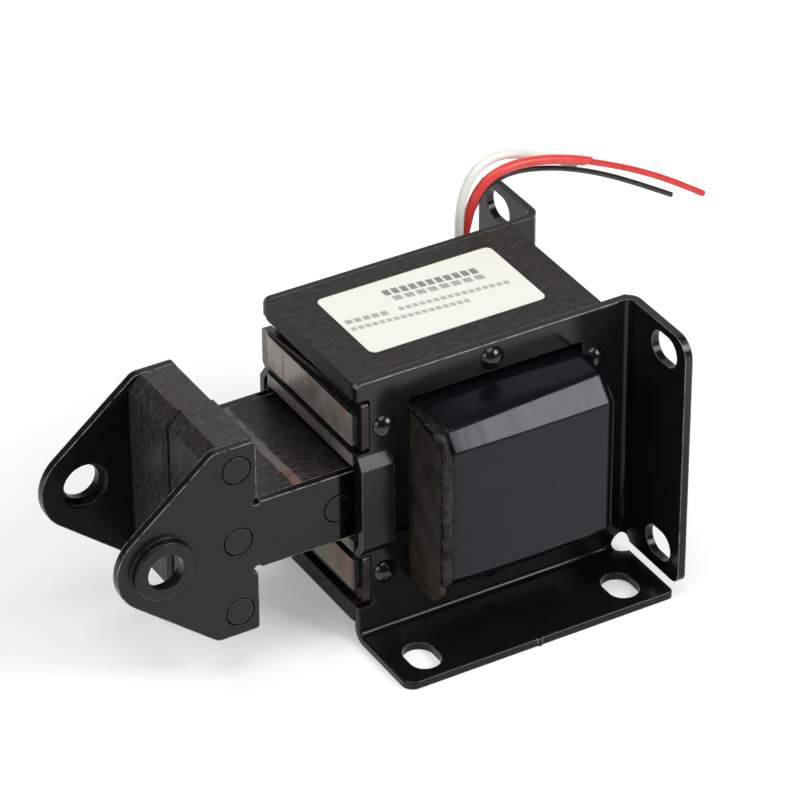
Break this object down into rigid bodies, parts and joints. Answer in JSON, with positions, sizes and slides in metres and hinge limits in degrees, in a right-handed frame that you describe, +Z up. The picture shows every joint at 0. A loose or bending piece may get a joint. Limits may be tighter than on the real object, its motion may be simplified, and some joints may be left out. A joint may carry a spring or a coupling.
{
  "type": "laminated pull solenoid",
  "caption": "AC traction solenoid with a laminated core between bent side plates, a taped coil with short free leads and a T-shaped sliding plunger with a forked eye end.",
  "frame": {"origin": "underside of the foot flanges, midway between the two front foot slots", "axes": "+X is the way the plunger is drawn in, towards the rear flanges; +Z is up from the mounting surface; +Y is across, towards the side where the leads leave"},
  "size_m": [0.1691, 0.082, 0.0772],
  "materials": {
    "varnished_core": "satin varnish over ground steel",
    "black_plate": "gloss",
    "black_rivet": "gloss",
    "shading_copper": "dull copper under varnish",
    "former_moulding": "satin",
    "pressboard": "rough, varnished",
    "magnet_wire": "enamelled copper",
    "coil_wrap": "gloss",
    "cloth_tape": "varnished cloth",
    "label_paper": "satin",
    "varnished_plunger": "semi-gloss varnish",
    "black_cheek": "gloss",
    "cheek_rivet": "semi-gloss",
    "white_insulation": "satin",
    "red_insulation": "gloss",
    "black_insulation": "gloss"
  },
  "bodies": {
    "frame": {"core_laminations": "varnished_core", "side_plate_near": "black_plate", "side_plate_far": "black_plate", "frame_rivets": "black_rivet", "shading_ring_upper": "shading_copper", "shading_ring_lower": "shading_copper", "former_guide_tube": "former_moulding", "former_flange_front": "pressboard", "former_flange_rear": "pressboard", "coil_winding": "magnet_wire", "coil_outer_wrap": "coil_wrap", "coil_edge_tape": "cloth_tape", "rating_label": "label_paper", "lead_white": "white_insulation", "lead_red": "red_insulation", "lead_black": "black_insulation", "red_sleeve": "red_insulation"},
    "plunger": {"plunger_laminations_near": "varnished_plunger", "plunger_laminations_far": "varnished_plunger", "plunger_cheek_near": "black_cheek", "plunger_cheek_far": "black_cheek", "plunger_head_rivets": "cheek_rivet", "plunger_stem_rivets": "cheek_rivet"}
  },
  "joints": [
    {"name": "plunger_slide", "type": "slide", "parent": "frame", "child": "plunger", "axis": [1, 0, 0], "range_m": [0, 0.0219]}
  ]
}
